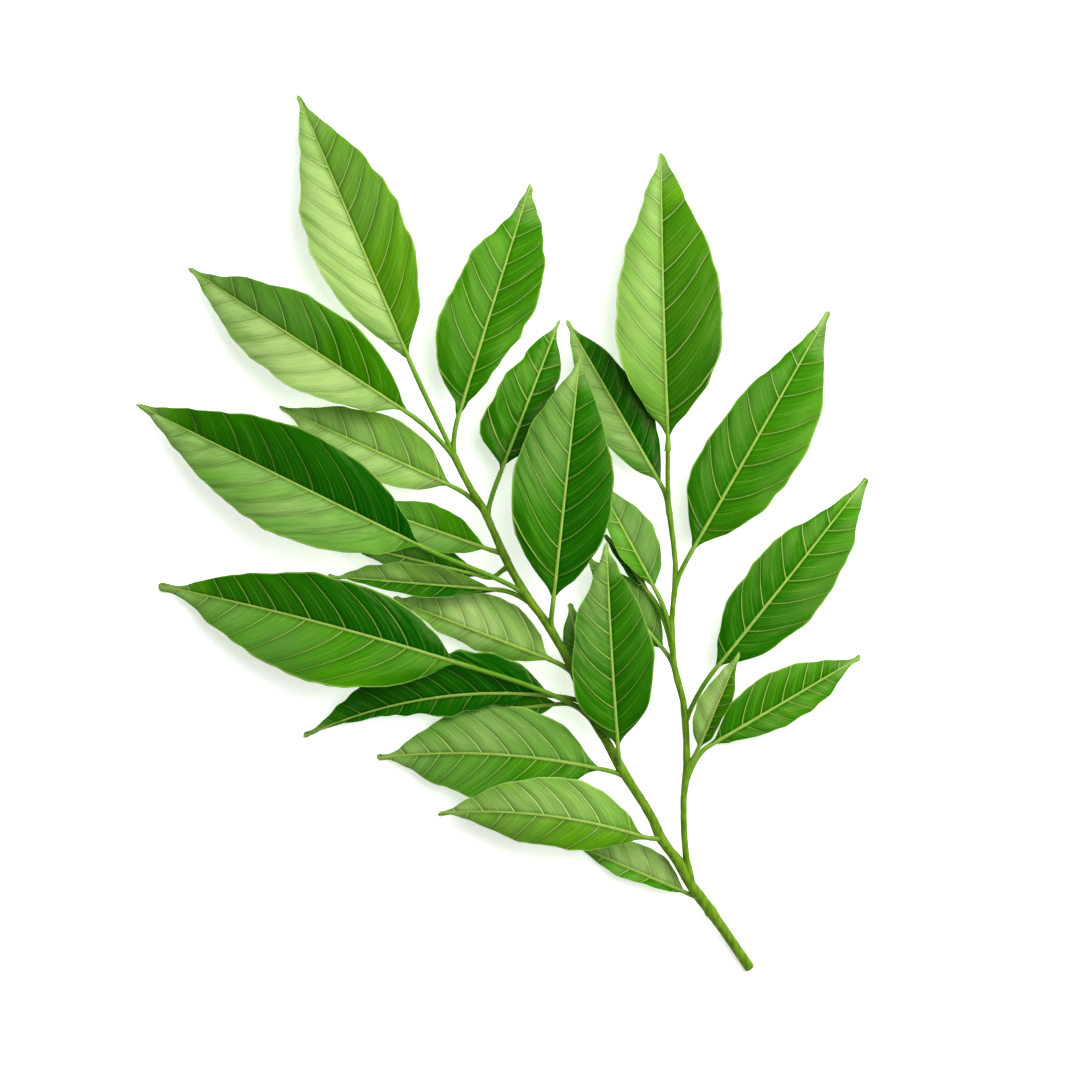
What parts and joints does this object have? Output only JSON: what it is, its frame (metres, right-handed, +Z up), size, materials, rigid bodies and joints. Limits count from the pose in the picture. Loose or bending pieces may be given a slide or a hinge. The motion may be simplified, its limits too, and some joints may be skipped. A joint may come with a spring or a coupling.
{
  "type": "curry leaf sprig",
  "caption": "Cut green stem with one side stem and many pointed, veined leaflets on short stalks, lying flat.",
  "frame": {"origin": "on the surface it lies on, below the middle of its outline from above", "axes": "+Z up from the surface; +Y the way the sprig's long side runs, from the cut end towards the leaf tips; +X to the right as seen from above"},
  "size_m": [0.1104, 0.1324, 0.0133],
  "materials": {
    "green_stem": "smooth green bark, satin",
    "deep_green_leaf": "waxy leaf surface, satin",
    "mid_green_leaf": "waxy leaf surface, satin",
    "pale_green_leaf": "waxy leaf surface, satin"
  },
  "bodies": {
    "root": {"main_stem": "green_stem", "side_stem": "green_stem", "main_leaflet_01": "mid_green_leaf", "main_leaflet_02": "pale_green_leaf", "main_leaflet_03": "mid_green_leaf", "main_leaflet_04": "deep_green_leaf", "main_leaflet_05": "mid_green_leaf", "main_leaflet_06": "mid_green_leaf", "main_leaflet_07": "deep_green_leaf", "main_leaflet_08": "deep_green_leaf", "main_leaflet_09": "pale_green_leaf", "main_leaflet_10": "deep_green_leaf", "main_leaflet_11": "mid_green_leaf", "main_leaflet_12": "pale_green_leaf", "main_leaflet_13": "mid_green_leaf", "main_leaflet_14": "deep_green_leaf", "main_leaflet_15": "pale_green_leaf", "main_leaflet_16": "mid_green_leaf", "main_leaflet_17": "mid_green_leaf", "main_leaflet_18": "pale_green_leaf", "main_leaflet_19": "mid_green_leaf", "side_leaflet_01": "mid_green_leaf", "side_leaflet_02": "pale_green_leaf", "side_leaflet_03": "mid_green_leaf", "side_leaflet_04": "deep_green_leaf", "side_leaflet_05": "mid_green_leaf", "side_leaflet_06": "deep_green_leaf", "side_leaflet_07": "mid_green_leaf", "side_leaflet_08": "deep_green_leaf", "side_leaflet_09": "pale_green_leaf"}
  },
  "joints": []
}
